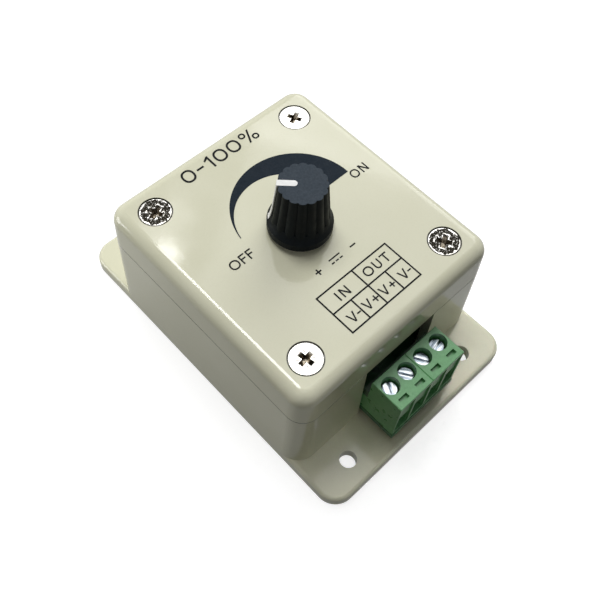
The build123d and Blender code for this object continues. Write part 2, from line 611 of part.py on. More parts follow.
def make_wiper():
    """The sprung contact under the rotor that runs on the track."""
    half = WIPER_WIDTH / 2
    strip = block(0, WIPER_REACH, -half, half, ROTOR_LOW_Z - WIPER_THICKNESS, ROTOR_LOW_Z)
    strip += block(WIPER_REACH - half, WIPER_REACH, -half, half, TRACK_TOP_Z, ROTOR_LOW_Z)
    return Rot(0, 0, KNOB_TURN) * strip


def make_washer():
    """The flat washer under the nut."""
    z1 = BOX_HEIGHT + WASHER_THICKNESS
    return disc(WASHER_RADIUS, BOX_HEIGHT, z1) - disc(BUSHING_RADIUS + FIXED_GAP, BOX_HEIGHT, z1)


def make_nut():
    """The hexagon nut on the bushing."""
    z0 = BOX_HEIGHT + WASHER_THICKNESS
    outline = Pos(0, 0, z0) * RegularPolygon(NUT_ACROSS_FLATS / 2, 6, major_radius=False)
    return extrude(outline, amount=NUT_HEIGHT) - disc(BUSHING_RADIUS + FIXED_GAP, z0, z0 + NUT_HEIGHT)


def polar(radius, degrees):
    """A point in plan at a radius and an angle."""
    return (radius * math.cos(math.radians(degrees)), radius * math.sin(math.radians(degrees)))


def fluted_outline(radius, z):
    """A ring of shallow lobes that meet in sharp valleys."""
    valley = radius - FLUTE_DEPTH
    step = 360 / FLUTE_COUNT
    edges = []
    for i in range(FLUTE_COUNT):
        middle = i * step
        start = polar(valley, middle - step / 2)
        end = polar(valley, middle + step / 2)
        edges.append(ThreePointArc(start, polar(radius, middle), end))
    return Pos(0, 0, z) * make_face(edges)


def knob_core(inset):
    """The turned shape of the knob, set in from the tips of its lobes by a depth."""
    low = KNOB_LOW_Z
    return revolved([
        (0, low),
        (SKIRT_RADIUS - inset, low),
        (SKIRT_RADIUS - inset, low + SKIRT_HEIGHT),
        (KNOB_LOW_RADIUS - inset, BODY_LOW_Z),
        (KNOB_WAIST_RADIUS - inset, WAIST_Z),
        (KNOB_TOP_RADIUS - inset, KNOB_TOP_Z - inset),
        (0, KNOB_TOP_Z - inset),
    ])


def pointer_groove():
    """The groove for the pointer along +X, open at the knob's side and top."""
    half = POINTER_WIDTH / 2
    start = POINTER_INNER_END + half
    low = BODY_LOW_Z + POINTER_LOW_END
    top = KNOB_TOP_Z + POINTER_DEPTH
    groove = block(start, SKIRT_RADIUS + 1, -half, half, low, top) + disc(half, low, top, start, 0)
    return groove - knob_core(POINTER_DEPTH)


def make_knob_pieces():
    """The knob body and its pointer, both turned to the rest position."""
    skirt_points = [
        (0, KNOB_LOW_Z),
        (SKIRT_RADIUS, KNOB_LOW_Z),
        (SKIRT_RADIUS, KNOB_LOW_Z + SKIRT_HEIGHT),
        (KNOB_LOW_RADIUS, BODY_LOW_Z),
        (KNOB_LOW_RADIUS - FLUTE_DEPTH, BODY_LOW_Z + SKIRT_SHOULDER),
        (0, BODY_LOW_Z + SKIRT_SHOULDER),
    ]
    outlines = [
        fluted_outline(LOBE_LOW_RADIUS, KNOB_LOW_Z + SKIRT_HEIGHT),
        fluted_outline(LOBE_LOW_RADIUS, BODY_LOW_Z),
        fluted_outline(KNOB_WAIST_RADIUS, WAIST_Z),
        fluted_outline(KNOB_TOP_RADIUS, KNOB_TOP_Z),
    ]
    knob = revolved(skirt_points) + loft(outlines, ruled=True)
    knob -= disc(KNOB_CAVITY_RADIUS, KNOB_LOW_Z, KNOB_LOW_Z + KNOB_CAVITY_HEIGHT)
    knob -= disc(KNOB_THROAT_RADIUS, KNOB_LOW_Z, BUSHING_TOP_Z + KNOB_THROAT_GAP)
    knob -= disc(SHAFT_RADIUS + FIXED_GAP, KNOB_LOW_Z, SHAFT_TOP_Z)
    groove = pointer_groove()
    turned = Rot(0, 0, KNOB_TURN)
    return turned * (knob - groove), turned * (groove & knob_core(-POINTER_PROUD))


def make_dial_arc():
    """The printed crescent between two circles, cut straight at both ends."""
    z1 = BOX_HEIGHT + INK_THICKNESS
    crescent = disc(ARC_OUTER_RADIUS, BOX_HEIGHT, z1, *ARC_OUTER_CENTRE)
    crescent -= disc(ARC_INNER_RADIUS, BOX_HEIGHT, z1, *ARC_INNER_CENTRE)
    reach = 2 * ARC_OUTER_RADIUS
    crescent -= block(-reach, 0, -reach, ARC_THIN_END_Y, BOX_HEIGHT, z1)
    return crescent - block(0, reach, -reach, ARC_THICK_END_Y, BOX_HEIGHT, z1)


def make_wiring_table():
    """The printed table of two cells over four, as one lattice of lines."""
    z1 = BOX_HEIGHT + INK_THICKNESS
    half = TABLE_LINE / 2
    column = (TABLE_RIGHT - TABLE_LEFT) / 4
    x0, x1 = TABLE_LEFT - half, TABLE_RIGHT + half
    lines = block(x0, x1, TABLE_BOTTOM - half, TABLE_TOP + half, BOX_HEIGHT, z1)
    for x0 in [TABLE_LEFT + i * column for i in range(4)]:
        x1 = x0 + column
        lines -= block(x0 + half, x1 - half, TABLE_BOTTOM + half, TABLE_MIDDLE - half, BOX_HEIGHT, z1)
    for x0 in [TABLE_LEFT, TABLE_LEFT + 2 * column]:
        x1 = x0 + 2 * column
        lines -= block(x0 + half, x1 - half, TABLE_MIDDLE + half, TABLE_TOP - half, BOX_HEIGHT, z1)
    return lines


def make_transistor():
    """An upright power transistor: moulded body, and the tab with three legs."""
    x, y = TRANSISTOR_AT
    half = TRANSISTOR_WIDTH / 2
    z0 = BOARD_TOP + TRANSISTOR_LIFT
    z1 = z0 + TRANSISTOR_HEIGHT
    body = block(x - half, x + half, y - TRANSISTOR_DEPTH, y, z0, z1)
    frame = block(x - half, x + half, y, y + TAB_DEPTH, z0, z0 + TAB_HEIGHT)
    hole = Pos(x, y + TAB_DEPTH / 2, (z1 + z0 + TAB_HEIGHT) / 2) * Rot(90, 0, 0)
    frame -= hole * Cylinder(TAB_HOLE_RADIUS, TAB_DEPTH)
    leg_half = COMPONENT_LEG_WIDTH / 2
    leg_top = BOARD_TOP + TRANSISTOR_LEG_HEIGHT
    for i in (-1, 0, 1):
        leg_x = x + i * LEG_PITCH
        frame += block(leg_x - leg_half, leg_x + leg_half, y, y + TRANSISTOR_LEG_DEPTH, BOARD_TOP, leg_top)
    return body, frame


def make_chip():
    """An eight-legged chip: moulded body, and its legs."""
    x, y = CHIP_AT
    half_x = CHIP_LENGTH / 2
    half_y = CHIP_WIDTH / 2
    z0 = BOARD_TOP + CHIP_LIFT
    body = block(x - half_x, x + half_x, y - half_y, y + half_y, z0, z0 + CHIP_HEIGHT)
    leg_half = COMPONENT_LEG_WIDTH / 2
    leg_top = z0 + CHIP_HEIGHT / 2
    legs = []
    for i in range(4):
        leg_x = x + (i - 1.5) * LEG_PITCH
        for side in (-1, 1):
            near = y + side * half_y
            far = near + side * CHIP_LEG_OUT
            y0, y1 = min(near, far), max(near, far)
            legs.append(block(leg_x - leg_half, leg_x + leg_half, y0, y1, BOARD_TOP, leg_top))
    return body, Compound(children=legs)


def make_capacitor():
    """An upright electrolytic capacitor with a crimped foot."""
    can = disc(CAPACITOR_RADIUS, BOARD_TOP, BOARD_TOP + CAPACITOR_HEIGHT)
    can = fillet(can.edges().filter_by(GeomType.CIRCLE), CAPACITOR_CRIMP)
    z0 = BOARD_TOP + CRIMP_LOW
    z1 = z0 + CRIMP_HEIGHT
    ring = disc(CAPACITOR_RADIUS, z0, z1) - disc(CAPACITOR_RADIUS - CAPACITOR_CRIMP, z0, z1)
    return Pos(*CAPACITOR_AT, 0) * (can - ring)


def axial_part(x, y, length, radius, wire_radius):
    """A small part lying on the board with its two wires bent down, along Y."""
    z = BOARD_TOP + radius
    lying = Pos(x, y, z) * Rot(90, 0, 0)
    body = lying * Cylinder(radius, length)
    wires = lying * Cylinder(wire_radius, AXIAL_SPAN)
    for side in (-1, 1):
        wires += disc(wire_radius, BOARD_TOP, z, x, y + side * (AXIAL_SPAN / 2 - wire_radius))
    return body + wires


def make_resistor(index):
    """One resistor of the row."""
    x, y = RESISTORS_AT
    return axial_part(x + index * RESISTOR_PITCH, y, RESISTOR_LENGTH, RESISTOR_RADIUS, RESISTOR_WIRE_RADIUS)


def make_disc_capacitor(index):
    """One ceramic disc of the row, upright across X on two wires."""
    x = DISCS_AT[0] + index * DISC_PITCH
    y = DISCS_AT[1]
    centre = Pos(x, y, BOARD_TOP + DISC_LIFT) * Rot(0, 90, 0)
    piece = fillet((centre * Cylinder(DISC_RADIUS, DISC_THICKNESS)).edges(), DISC_EDGE)
    for side in (-1, 1):
        wire_y = y + side * LEG_PITCH / 2
        piece += disc(RESISTOR_WIRE_RADIUS, BOARD_TOP, BOARD_TOP + DISC_LIFT, x, wire_y)
    return piece


def write(name, shape):
    export_step(shape, "parts/" + name + ".step")


def main():
    write("base_housing", make_base())
    write("cover_housing", make_cover())
    places = zip(corners(SCREW_X, SCREW_Y), CROSS_TURNS)
    write("cover_screws", Compound(children=[make_cover_screw(x, y, turn) for (x, y), turn in places]))
    write("circuit_board", make_board())
    places = corners(STANDOFF_X, STANDOFF_Y)
    write("board_screws", Compound(children=[make_board_screw(x, y) for x, y in places]))
    write("terminal_block_in", make_terminal_block(0))
    write("terminal_block_out", make_terminal_block(POLES_PER_BLOCK))
    write("current_bars", Compound(children=[make_current_bar(x) for x in POLE_XS]))
    for number, (x, turn) in enumerate(zip(POLE_XS, CLAMP_SLOT_TURNS), start=1):
        write(f"clamp_screw_{number}", make_clamp_screw(x, turn))
        write(f"wire_clamp_{number}", make_wire_clamp(x))
    write("pot_bushing", make_bushing())
    write("pot_can", make_can())
    write("pot_track", make_track())
    write("pot_lugs", Compound(children=[make_lug((i - 1) * LUG_SPACING) for i in range(3)]))
    write("pot_leads", Compound(children=[make_lead(i) for i in range(3)]))
    write("pot_shaft", make_shaft())
    write("pot_rotor", disc(ROTOR_RADIUS, ROTOR_LOW_Z, ROTOR_TOP_Z))
    write("pot_wiper", make_wiper())
    write("pot_washer", make_washer())
    write("pot_nut", make_nut())
    knob, pointer = make_knob_pieces()
    write("knob", knob)
    write("knob_pointer", pointer)
    write("dial_arc", make_dial_arc())
    write("wiring_table", make_wiring_table())
    body, frame = make_transistor()
    write("transistor_body", body)
    write("transistor_frame", frame)
    body, legs = make_chip()
    write("control_chip", body)
    write("chip_legs", legs)
    write("electrolytic_capacitor", make_capacitor())
    write("diode", axial_part(*DIODE_AT, DIODE_LENGTH, DIODE_RADIUS, DIODE_WIRE_RADIUS))
    write("resistors", Compound(children=[make_resistor(i) for i in range(3)]))
    write("disc_capacitors", Compound(children=[make_disc_capacitor(i) for i in range(2)]))


main()
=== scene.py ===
import math
import bpy
from mathutils import Matrix, Vector


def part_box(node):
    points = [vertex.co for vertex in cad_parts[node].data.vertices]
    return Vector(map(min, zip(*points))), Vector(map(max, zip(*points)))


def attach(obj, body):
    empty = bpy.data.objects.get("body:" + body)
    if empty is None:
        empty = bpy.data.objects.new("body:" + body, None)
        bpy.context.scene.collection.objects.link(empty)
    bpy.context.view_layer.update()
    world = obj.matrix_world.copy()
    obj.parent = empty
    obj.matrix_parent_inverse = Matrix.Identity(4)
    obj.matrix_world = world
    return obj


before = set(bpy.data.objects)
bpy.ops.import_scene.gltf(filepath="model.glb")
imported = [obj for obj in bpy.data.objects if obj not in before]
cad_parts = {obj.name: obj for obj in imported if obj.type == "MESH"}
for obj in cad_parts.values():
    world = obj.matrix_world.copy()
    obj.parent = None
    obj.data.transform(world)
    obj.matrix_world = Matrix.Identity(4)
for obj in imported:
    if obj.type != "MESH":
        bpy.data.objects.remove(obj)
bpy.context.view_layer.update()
MM = 0.001

# Places and sizes of the CAD pieces that the materials follow
COVER_BOTTOM, COVER_TOP = (corner.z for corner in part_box("cover_housing"))
KNOB_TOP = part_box("knob")[1].z
SCREW_RADIUS = 3.5 * MM
SCREWS_LOW, SCREWS_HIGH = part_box("cover_screws")
SCREW_X = (SCREWS_HIGH.x - SCREWS_LOW.x) / 2 - SCREW_RADIUS
SCREW_Y = (SCREWS_HIGH.y - SCREWS_LOW.y) / 2 - SCREW_RADIUS
CROSS_SPAN = 3.6 * MM
CROSS_WIDTH = 1.15 * MM
# Where the painted shade on top of the terminals' ledge begins: behind the blocks' back and above
# this height
LEDGE_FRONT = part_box("terminal_block_in")[1].y - 1.6 * MM
LEDGE_SHADE_FROM = 13.5 * MM

# Turns of the marks round the cross recesses, and of the slots of terminals 1 to 4, in degrees
CLEAN_TURN = 14
STAINED_TURN = 27
SLOT_TURNS = (61, -56, -61, 10)

# Print on the cover: its thickness, the stroke of most letters in millimetres, and the
# number of points round an O and of steps round a U
INK = 0.05 * MM
LETTER_STROKE = 0.34
OVAL_POINTS = 40
CUP_STEPS = 14

# Floor: its reach each way, how far it lies below the object, and its white glow
FLOOR_REACH = 6.0
FLOOR_DROP = 0.1 * MM
FLOOR_GLOW_SEEN = 0.78
FLOOR_GLOW_MIRRORED = 0.25

# World: its light on the object, and where it is seen or mirrored
WORLD_LIGHT = 0.16
WORLD_SEEN = 1.0

# Camera fitted to the photograph
CAMERA_PLACE = (-0.072968, -0.067386, 0.177174)
CAMERA_RIGHT = (0.724208, -0.68805, 0.04593)
CAMERA_UP = (0.568954, 0.633831, 0.523974)
CAMERA_BACK = (-0.389633, -0.353334, 0.850495)
CAMERA_LENS = 47.975
CAMERA_SHIFT = -0.05

# Lamps: name, place, aim and size in metres, power in watts and spread in degrees. The
# window, glint and glow are mirrored in the cover, overhead and right light the top, left
# lights the long wall, and the last two are narrow spots on the front flange.
LAMPS = (
    ("window", (0.022, 0.159, 0.45), (0.022, 0.1591, 0), (0.115, 0.178), 0.95, 180),
    ("glint", (0.112, 0.25, 0.45), (0.112, 0.2501, 0), (0.02, 0.022), 0.024, 180),
    ("glow", (0.13, 0.275, 0.45), (0.13, 0.2751, 0), (0.05, 0.03), 0.014, 180),
    ("overhead", (0.2, 0.1, 0.5), (0, 0, 0.02), (0.3, 0.3), 0.45, 180),
    ("right", (0.4, 0.19, 0.3), (0.01, -0.01, 0.02), (0.34, 0.34), 1.2, 180),
    ("left", (-0.1, 0.1, 0.045), (-0.03, 0.02, 0.015), (0.05, 0.05), 0.05, 180),
    ("far_flange", (0.2, 0.02, 0.12), (0.0285, -0.037, 0.003), (0.02, 0.02), 0.00075, 8),
    ("near_flange", (-0.035, -0.055, 0.25), (-0.0265, -0.037, 0.003), (0.03, 0.03), 0.00025, 7),
)


def add_camera():
    data = bpy.data.cameras.new("camera")
    camera = bpy.data.objects.new("camera", data)
    bpy.context.scene.collection.objects.link(camera)
    axes = Matrix((CAMERA_RIGHT, CAMERA_UP, CAMERA_BACK))
    camera.matrix_world = Matrix.Translation(CAMERA_PLACE) @ axes.transposed().to_4x4()
    data.sensor_width = 36
    data.sensor_fit = "HORIZONTAL"
    data.lens = CAMERA_LENS
    data.shift_y = CAMERA_SHIFT
    data.clip_start = 0.01
    data.clip_end = 20
    bpy.context.scene.camera = camera


# Node materials

def linear(r, g, b):
    """An sRGB colour, 0 to 255, as the linear colour that the shader takes."""
    def one(c):
        c /= 255
        return c / 12.92 if c <= 0.04045 else ((c + 0.055) / 1.055) ** 2.4
    return (one(r), one(g), one(b), 1)


class Finish:
    """A principled material and short ways to add nodes to it."""

    def __init__(self, name, metallic=0.0, specular=0.5, ior=1.5):
        self.material = bpy.data.materials.new(name)
        self.material.use_nodes = True
        self.tree = self.material.node_tree
        self.shader = self.tree.nodes["Principled BSDF"]
        self.shader.inputs["Metallic"].default_value = metallic
        self.shader.inputs["Specular IOR Level"].default_value = specular
        self.shader.inputs["IOR"].default_value = ior
        self.place = self.tree.nodes.new("ShaderNodeTexCoord").outputs["Object"]

    def node(self, kind, inputs=(), **settings):
        made = self.tree.nodes.new(kind)
        for key, value in settings.items():
            setattr(made, key, value)
        for key, value in dict(inputs).items():
            if isinstance(value, bpy.types.NodeSocket):
                self.tree.links.new(value, made.inputs[key])
            else:
                made.inputs[key].default_value = value
        return made

    def noise(self, scale, detail=3.0, roughness=0.5, stretch=None):
        vector = self.place
        if stretch:
            vector = self.node("ShaderNodeMapping", {"Vector": vector, "Scale": stretch}).outputs[0]
        inputs = {"Vector": vector, "Scale": scale, "Detail": detail, "Roughness": roughness}
        return self.node("ShaderNodeTexNoise", inputs).outputs["Fac"]

    def ramp(self, factor, *stops):
        made = self.node("ShaderNodeValToRGB", {"Fac": factor})
        ramp = made.color_ramp
        while len(ramp.elements) < len(stops):
            ramp.elements.new(1.0)
        for element, (at, colour) in zip(ramp.elements, stops):
            element.position = at
            element.color = colour
        return made.outputs["Color"]

    def range(self, value, low, high, start=0.3, end=0.7):
        inputs = {"Value": value, "From Min": start, "From Max": end, "To Min": low, "To Max": high}
        return self.node("ShaderNodeMapRange", inputs).outputs[0]

    def math(self, operation, a, b=0.0):
        return self.node("ShaderNodeMath", {0: a, 1: b}, operation=operation).outputs[0]

    def plus(self, a, b):
        return self.math("ADD", a, b)

    def minus(self, a, b):
        return self.math("SUBTRACT", a, b)

    def times(self, a, b):
        return self.math("MULTIPLY", a, b)

    def size(self, a):
        return self.math("ABSOLUTE", a)

    def larger(self, a, b):
        return self.math("MAXIMUM", a, b)

    def mix(self, factor, a, b):
        made = self.node("ShaderNodeMix", data_type="RGBA")
        for socket, value in ((made.inputs[0], factor), (made.inputs[6], a), (made.inputs[7], b)):
            if isinstance(value, bpy.types.NodeSocket):
                self.tree.links.new(value, socket)
            else:
                socket.default_value = value
        return made.outputs[2]

    def axis(self, name):
        return self.node("ShaderNodeSeparateXYZ", {0: self.place}).outputs[name]

    def colour(self, socket):
        self.tree.links.new(socket, self.shader.inputs["Base Color"])

    def rough(self, socket):
        self.tree.links.new(socket, self.shader.inputs["Roughness"])

    def bump(self, height, distance, strength):
        inputs = {"Height": height, "Distance": distance, "Strength": strength}
        made = self.node("ShaderNodeBump", inputs)
        self.tree.links.new(made.outputs[0], self.shader.inputs["Normal"])


def ivory_plastic():
    """Glossy moulding, with painted shade in the parting line's groove and round the cover screws.
    """
    f = Finish("ivory_plastic", ior=1.45)
    broad = f.ramp(f.noise(55, 2), (0.3, linear(208, 207, 181)), (0.7, linear(213, 212, 188)))
    speckle = f.range(f.noise(2600, 2, 0.6), 0.0, 0.16, 0.52, 0.75)
    body = f.mix(speckle, broad, linear(192, 191, 164))
    # Painted shade: the groove of the parting line darkened, as if in its own shadow
    from_seam = f.size(f.minus(f.axis("Z"), COVER_BOTTOM))
    seam_shade = f.range(from_seam, 0.75, 0.0, 0.10 * MM, 0.19 * MM)
    away = screw_axes(f)[2]
    # Painted shade on the walls of the seats round the cover screws, fading out just past the heads
    ring = f.range(away, 0.9, 0.0, SCREW_RADIUS + 0.30 * MM, SCREW_RADIUS + 0.42 * MM)
    f.colour(f.mix(f.larger(seam_shade, ring), body, linear(46, 46, 36)))
    f.rough(f.range(f.noise(210, 4), 0.06, 0.1))
    f.bump(f.noise(700, 3, 0.55), 0.02 * MM, 0.35)
    return f.material


def screw_axes(f):
    """Two distances along the cross of the nearest cover screw, the distance from its axis,
    and 1 on the two stained screws, which stand at opposite corners."""
    x = f.minus(f.size(f.axis("X")), SCREW_X)
    y = f.minus(f.size(f.axis("Y")), SCREW_Y)
    away = f.math("SQRT", f.plus(f.times(x, x), f.times(y, y)))
    side = f.range(f.times(f.axis("X"), f.axis("Y")), 1.0, 0.0, -0.0001, 0.0001)
    x = f.times(x, f.range(side, -1.0, 1.0, 0.0, 1.0))
    clean, stained = math.radians(CLEAN_TURN), math.radians(STAINED_TURN)
    c = f.range(side, math.cos(clean), math.cos(stained), 0.0, 1.0)
    s = f.range(side, math.sin(clean), math.sin(stained), 0.0, 1.0)
    u = f.minus(f.times(x, c), f.times(y, s))
    v = f.plus(f.times(x, s), f.times(y, c))
    return u, v, away, side


def cross_distance(f, along, across):
    """How far a point lies outside one arm pair of the cross."""
    a = f.minus(f.size(along), CROSS_SPAN / 2)
    b = f.minus(f.size(across), CROSS_WIDTH / 2)
    return f.larger(a, b)


def screw_nickel():
    """Bright plated heads, two of them stained, darker and mottled down in the cross recess."""
    f = Finish("cover_screw_nickel", metallic=1.0)
    fine = f.noise(1500, 4, 0.6)
    clean = f.ramp(fine, (0.35, linear(180, 177, 169)), (0.7, linear(236, 235, 231)))
    u, v, away, side = screw_axes(f)
    speckle = f.noise(2300, 5, 0.75)
    warp = f.times(f.minus(f.noise(900, 3), 0.5), 1.6 * MM)

    # What stays bright on a stained head: a broken line round the cross, the rim and specks
    arms = f.math("MINIMUM", cross_distance(f, u, v), cross_distance(f, v, u))
    edge = f.plus(arms, warp)
    inner = f.range(edge, 0.0, 1.0, 0.0, 0.06 * MM)
    outer = f.range(edge, 1.0, 0.0, 0.22 * MM, 0.3 * MM)
    broken = f.range(f.noise(1300, 3), 0.0, 1.0, 0.45, 0.53)
    outline = f.times(f.times(inner, outer), broken)
    rim = f.range(f.plus(away, warp), 0.0, 1.0, 3.25 * MM, 3.33 * MM)
    specks = f.range(speckle, 0.0, 0.75, 0.57, 0.63)
    bright = f.larger(f.larger(outline, rim), specks)
    stained = f.times(side, f.minus(1.0, bright))

    # Four short ticks between the arms of the cross
    from_diagonal = f.size(f.minus(f.size(u), f.size(v)))
    from_ring = f.size(f.minus(away, 1.75 * MM))
    ticks = f.times(f.range(from_diagonal, 1.0, 0.0, 0.10 * MM, 0.20 * MM),
                    f.range(from_ring, 1.0, 0.0, 0.28 * MM, 0.4 * MM))
    faces = f.mix(f.times(ticks, 0.75), clean, linear(60, 56, 50))
    faces = f.mix(stained, faces, linear(26, 24, 19))

    # Darker, mottled colour down in the cross recess, growing with depth
    head_top = SCREWS_HIGH.z
    deep = f.range(f.axis("Z"), 1.0, 0.0, head_top - 0.40 * MM, head_top - 0.10 * MM)
    recess_mottle = f.noise(2600, 4, 0.7)
    recess = f.ramp(recess_mottle, (0.42, linear(66, 58, 46)), (0.56, linear(150, 142, 128)))
    f.colour(f.mix(deep, faces, recess))
    f.rough(f.range(stained, 0.16, 0.45, 0.0, 1.0))
    f.bump(speckle, 0.03 * MM, 0.5)
    return f.material


def slot_screw_zinc(name, turn):
    """Plated steel with marks along the slot, where drivers have slipped."""
    f = Finish(name, metallic=1.0)
    rotation = (0, 0, math.radians(-turn))
    turned = f.node("ShaderNodeMapping", {"Vector": f.place, "Rotation": rotation}).outputs[0]
    along = f.node("ShaderNodeMapping", {"Vector": turned, "Scale": (0.16, 1, 1)}).outputs[0]
    inputs = {"Vector": along, "Scale": 1500, "Detail": 4, "Roughness": 0.6}
    marks = f.node("ShaderNodeTexNoise", inputs).outputs["Fac"]
    f.colour(f.ramp(marks, (0.36, linear(60, 68, 76)), (0.5, linear(150, 160, 170)),
                    (0.62, linear(236, 240, 243))))
    f.rough(f.range(marks, 0.2, 0.38))
    f.bump(marks, 0.10 * MM, 0.8)
    return f.material


def zinc():
    """Bright plated steel of the nut, the washer, the can and the board's screws."""
    f = Finish("zinc", metallic=1.0)
    fine = f.noise(1500, 4, 0.6)
    f.colour(f.ramp(fine, (0.35, linear(196, 193, 186)), (0.7, linear(232, 230, 226))))
    f.rough(f.range(f.noise(900, 3), 0.16, 0.32))
    f.bump(fine, 0.02 * MM, 0.4)
    return f.material


def black_knob():
    """Black sides with upright streaks, and a greyer crown."""
    f = Finish("black_knob", specular=0.08)
    top = f.range(f.axis("Z"), 0.0, 1.0, KNOB_TOP - 0.20 * MM, KNOB_TOP - 0.02 * MM)
    grain = f.noise(1900, 4, 0.65)
    streaks = f.noise(900, 3, 0.6, (1, 1, 0.12))
    side = f.ramp(streaks, (0.35, linear(2, 6, 9)), (0.7, linear(9, 16, 20)))
    crown = f.ramp(grain, (0.3, linear(45, 53, 61)), (0.75, linear(59, 68, 77)))
    f.colour(f.mix(top, side, crown))
    f.rough(f.range(f.noise(600, 3), 0.42, 0.56))
    f.bump(grain, 0.04 * MM, 0.6)
    return f.material


def green_polyamide():
    """Terminal housings, with painted shade on top of the ledge that goes back into the box under
    the cover.
    """
    f = Finish("green_polyamide")
    grain = f.noise(1400, 4, 0.6)
    body = f.ramp(grain, (0.3, linear(82, 142, 88)), (0.7, linear(96, 156, 102)))
    # Painted shade: the ledge's top behind the blocks' back, which lies under the cover, made
    # nearly black
    behind = f.range(f.axis("Y"), 0.0, 0.85, LEDGE_FRONT - 0.05 * MM, LEDGE_FRONT + 0.25 * MM)
    above = f.range(f.axis("Z"), 0.0, 1.0, LEDGE_SHADE_FROM, LEDGE_SHADE_FROM + 0.3 * MM)
    f.colour(f.mix(f.times(behind, above), body, linear(12, 20, 13)))
    f.rough(f.range(f.noise(1400 / 3, 3), 0.26, 0.38))
    f.bump(grain, 0.006 * MM, 0.5)
    return f.material


def plastic(name, low, high, rough=(0.35, 0.5), scale=900, bump=0.03 * MM, specular=0.5):
    """Moulded plastic, sleeve or print between two colours."""
    f = Finish(name, specular=specular)
    grain = f.noise(scale, 4, 0.6)
    f.colour(f.ramp(grain, (0.3, linear(*low)), (0.7, linear(*high))))
    f.rough(f.range(f.noise(scale / 3, 3), *rough))
    f.bump(grain, bump, 0.5)
    return f.material


def metal(name, low, high, rough=(0.2, 0.35), stretch=None):
    """Plain metal between two colours."""
    f = Finish(name, metallic=1.0)
    grain = f.noise(1200, 4, 0.6, stretch)
    f.colour(f.ramp(grain, (0.3, linear(*low)), (0.7, linear(*high))))
    f.rough(f.range(grain, *rough))
    f.bump(grain, 0.02 * MM, 0.5)
    return f.material


def white_floor():
    """A pale floor that shows white to the camera and in gloss, and keeps a soft shadow."""
    f = Finish("floor", specular=0.1)
    f.colour(f.ramp(f.noise(3, 2), (0.3, linear(97, 98, 76)), (0.7, linear(103, 104, 82))))
    f.shader.inputs["Roughness"].default_value = 0.9
    paths = f.tree.nodes.new("ShaderNodeLightPath").outputs
    seen = f.larger(paths["Is Camera Ray"], paths["Is Glossy Ray"])
    seen = f.larger(seen, paths["Is Transmission Ray"])
    lit = f.node("ShaderNodeBsdfDiffuse", {"Color": linear(168, 168, 168)})
    level = f.range(paths["Is Camera Ray"], FLOOR_GLOW_MIRRORED, FLOOR_GLOW_SEEN, 0.0, 1.0)
    glow = f.node("ShaderNodeEmission", {"Color": (1, 1, 1, 1), "Strength": level})
    bright = f.node("ShaderNodeAddShader", {0: lit.outputs[0], 1: glow.outputs[0]})
    inputs = {0: seen, 1: f.shader.outputs[0], 2: bright.outputs[0]}
    shown = f.node("ShaderNodeMixShader", inputs)
    surface = f.tree.nodes["Material Output"].inputs["Surface"]
    f.tree.links.new(shown.outputs[0], surface)
    return f.material


def dress(nodes, material):
    for name in nodes:
        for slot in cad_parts[name].material_slots:
            slot.material = material


# Lettering: closed outlines in a box w wide and h high, with strokes t wide

def oval(w, h, inset=0.0):
    """A rounded loop, fuller than an ellipse."""
    points = []
    for i in range(OVAL_POINTS):
        a = 2 * math.pi * i / OVAL_POINTS
        c, s = math.cos(a), math.sin(a)
        x = math.copysign(abs(c) ** 0.88, c) * (w / 2 - inset)
        y = math.copysign(abs(s) ** 0.88, s) * (h / 2 - inset)
        points.append((w / 2 + x, h / 2 + y))
    return points


def bar(x0, x1, y0, y1):
    return [(x0, y0), (x1, y0), (x1, y1), (x0, y1)]


def cup(w, h, t):
    """The U: an outer and an inner half circle between straight sides."""
    r = w / 2
    turns = [math.pi * i / CUP_STEPS for i in range(CUP_STEPS + 1)]
    outer = [(r - r * math.cos(a), r - r * math.sin(a)) for a in turns]
    inner = [(r + (r - t) * math.cos(a), r - (r - t) * math.sin(a)) for a in turns]
    return [(0, h)] + outer + [(w, h), (w - t, h)] + inner + [(t, h)]


def glyph(letter, w, h, t):
    """The outlines of one character. Any sign that isn't listed is a dash."""
    if letter == "O":
        return [oval(w, h), oval(w, h, t)]
    if letter == "N":
        d = 1.25 * t
        rise = h * t / (w - d)
        return [[(0, 0), (t, 0), (t, h - rise), (w - d, 0), (w, 0), (w, h), (w - t, h),
                 (w - t, rise), (d, h), (0, h)]]
    if letter == "F":
        mid = 0.46 * h
        return [[(0, 0), (t, 0), (t, mid), (0.86 * w, mid), (0.86 * w, mid + t), (t, mid + t),
                 (t, h - t), (w, h - t), (w, h), (0, h)]]
    if letter == "I":
        return [bar(0, w, 0, h)]
    if letter == "U":
        return [cup(w, h, t)]
    if letter == "T":
        a, b = w / 2 - t / 2, w / 2 + t / 2
        return [[(a, 0), (b, 0), (b, h - t), (w, h - t), (w, h), (0, h), (0, h - t), (a, h - t)]]
    if letter == "V":
        return [[(w / 2 - 0.55 * t, 0), (w / 2 + 0.55 * t, 0), (w, h), (w - 1.1 * t, h),
                 (w / 2, 1.2 * t), (1.1 * t, h), (0, h)]]
    if letter == "1":
        return [[(w - t, 0), (w, 0), (w, h), (w - 0.8 * t, h), (0, 0.8 * h),
                 (0, 0.8 * h - t), (w - t, 0.93 * h - t)]]
    if letter == "+":
        a, b, c, e = w / 2 - t / 2, w / 2 + t / 2, h / 2 - t / 2, h / 2 + t / 2
        return [[(a, 0), (b, 0), (b, c), (w, c), (w, e), (b, e),
                 (b, h), (a, h), (a, e), (0, e), (0, c), (a, c)]]
    if letter == "%":
        ring = 0.46 * h
        loops = []
        for left, low in ((0, h - ring), (0.6 * w, 0)):
            for inset in (0, 0.8 * t):
                loops.append([(left + x, low + y) for x, y in oval(0.4 * w, ring, inset)])
        return loops + [[(0.25 * w, 0), (0.25 * w + t, 0), (0.75 * w, h), (0.75 * w - t, h)]]
    return [bar(0, w, h / 2 - t / 2, h / 2 + t / 2)]


